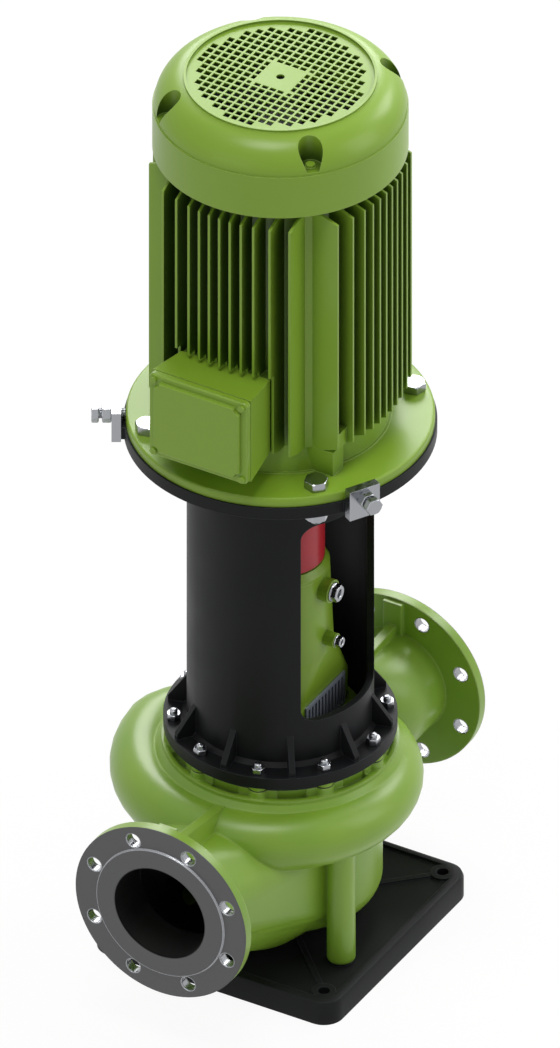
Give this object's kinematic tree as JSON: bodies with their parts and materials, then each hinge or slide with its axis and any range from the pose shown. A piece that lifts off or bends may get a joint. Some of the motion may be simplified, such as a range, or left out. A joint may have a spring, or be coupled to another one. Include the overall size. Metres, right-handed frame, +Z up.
{
  "type": "in-line pump",
  "caption": "Vertical in-line pump: flanged volute casing on a square base plate, open lantern round a jaw coupling, and a finned electric motor with fan cowl and terminal box on top.",
  "frame": {"origin": "on the shaft axis, at the underside of the base plate", "axes": "+Z up along the shaft axis, +Y along the pipe axis towards the discharge flange, -Y towards the suction flange and the terminal box, +X to the side away from the spiral's outlet"},
  "size_m": [0.4979, 0.7, 1.5],
  "materials": {
    "green_paint": "semi-gloss grass green enamel",
    "black_paint": "satin black paint on casting",
    "guard_paint": "satin dark grey paint",
    "zinc_steel": "bright zinc-plated fasteners",
    "bearing_steel": "ground bearing steel",
    "shaft_steel": "turned steel",
    "red_hub": "satin dull red paint",
    "rubber_black": "matt black elastomer",
    "seal_carbon": "dark seal faces",
    "bronze": "cast bronze",
    "lamination": "stacked electrical sheet",
    "winding": "varnished copper winding",
    "fan_plastic": "black moulded plastic",
    "terminal_plastic": "pale moulded plastic",
    "plug_plastic": "black moulded plastic"
  },
  "bodies": {
    "stand": {"base_plate": "black_paint", "leg_screws": "zinc_steel", "volute_casing": "green_paint", "wear_ring": "bronze", "casing_gasket": "rubber_black", "casing_cover": "green_paint", "seal_seat": "seal_carbon", "bearing_bracket": "green_paint", "bracket_screws": "zinc_steel", "guards": "guard_paint", "filler_plug": "zinc_steel", "level_plug": "zinc_steel", "pump_outer_rings": "bearing_steel", "bearing_cover": "green_paint", "lantern": "black_paint", "casing_studs": "zinc_steel", "casing_nuts": "zinc_steel", "drive_shield": "green_paint", "motor_frame": "green_paint", "stator_core": "lamination", "stator_windings": "winding", "motor_outer_rings": "bearing_steel", "end_shield": "green_paint", "fan_cowl": "green_paint", "cowl_screws": "green_paint", "motor_bolts": "zinc_steel", "motor_washers": "zinc_steel", "motor_nuts": "zinc_steel", "terminal_box": "green_paint", "terminal_gasket": "rubber_black", "terminal_lid": "green_paint", "lid_screws": "green_paint", "terminal_block": "terminal_plastic", "entry_plugs": "plug_plastic", "jack_plates": "zinc_steel", "jack_nuts": "zinc_steel"},
    "pump_rotor": {"pump_shaft": "shaft_steel", "impeller": "bronze", "impeller_nut": "zinc_steel", "seal_head": "seal_carbon", "pump_inner_rings": "bearing_steel", "lower_hub": "red_hub", "spider": "rubber_black"},
    "motor_rotor": {"motor_shaft": "shaft_steel", "rotor_core": "lamination", "motor_inner_rings": "bearing_steel", "upper_hub": "red_hub", "fan": "fan_plastic"},
    "pump_ball_sets": {"pump_balls": "bearing_steel", "pump_cages": "bronze"},
    "motor_ball_sets": {"motor_balls": "bearing_steel", "motor_cages": "bronze"},
    "jack_right": {"jack_screw_right": "zinc_steel"},
    "jack_left": {"jack_screw_left": "zinc_steel"},
    "jack_back": {"jack_screw_back": "zinc_steel"}
  },
  "joints": [
    {"name": "motor_spin", "type": "hinge", "parent": "stand", "child": "motor_rotor", "pos_m": [0, 0, 0.8], "axis": [0, 0, 1], "continuous": true},
    {"name": "pump_spin", "type": "hinge", "parent": "stand", "child": "pump_rotor", "pos_m": [0, 0, 0.5], "axis": [0, 0, 1], "continuous": true},
    {"name": "motor_balls_roll", "type": "hinge", "parent": "stand", "child": "motor_ball_sets", "pos_m": [0, 0, 0.93], "axis": [0, 0, 1], "continuous": true},
    {"name": "pump_balls_roll", "type": "hinge", "parent": "stand", "child": "pump_ball_sets", "pos_m": [0, 0, 0.493], "axis": [0, 0, 1], "continuous": true},
    {"name": "jack_right_slide", "type": "slide", "parent": "stand", "child": "jack_right", "axis": [0.866, -0.5, 0], "range_m": [0, 0.0045]},
    {"name": "jack_left_slide", "type": "slide", "parent": "stand", "child": "jack_left", "axis": [-0.866, -0.5, 0], "range_m": [0, 0.0045]},
    {"name": "jack_back_slide", "type": "slide", "parent": "stand", "child": "jack_back", "axis": [0, 1, 0], "range_m": [0, 0.0045]}
  ],
  "couplings": [
    {"joint": "pump_spin", "follows": "motor_spin", "ratio": 1},
    {"joint": "motor_balls_roll", "follows": "motor_spin", "ratio": 0.395},
    {"joint": "pump_balls_roll", "follows": "motor_spin", "ratio": 0.394}
  ]
}
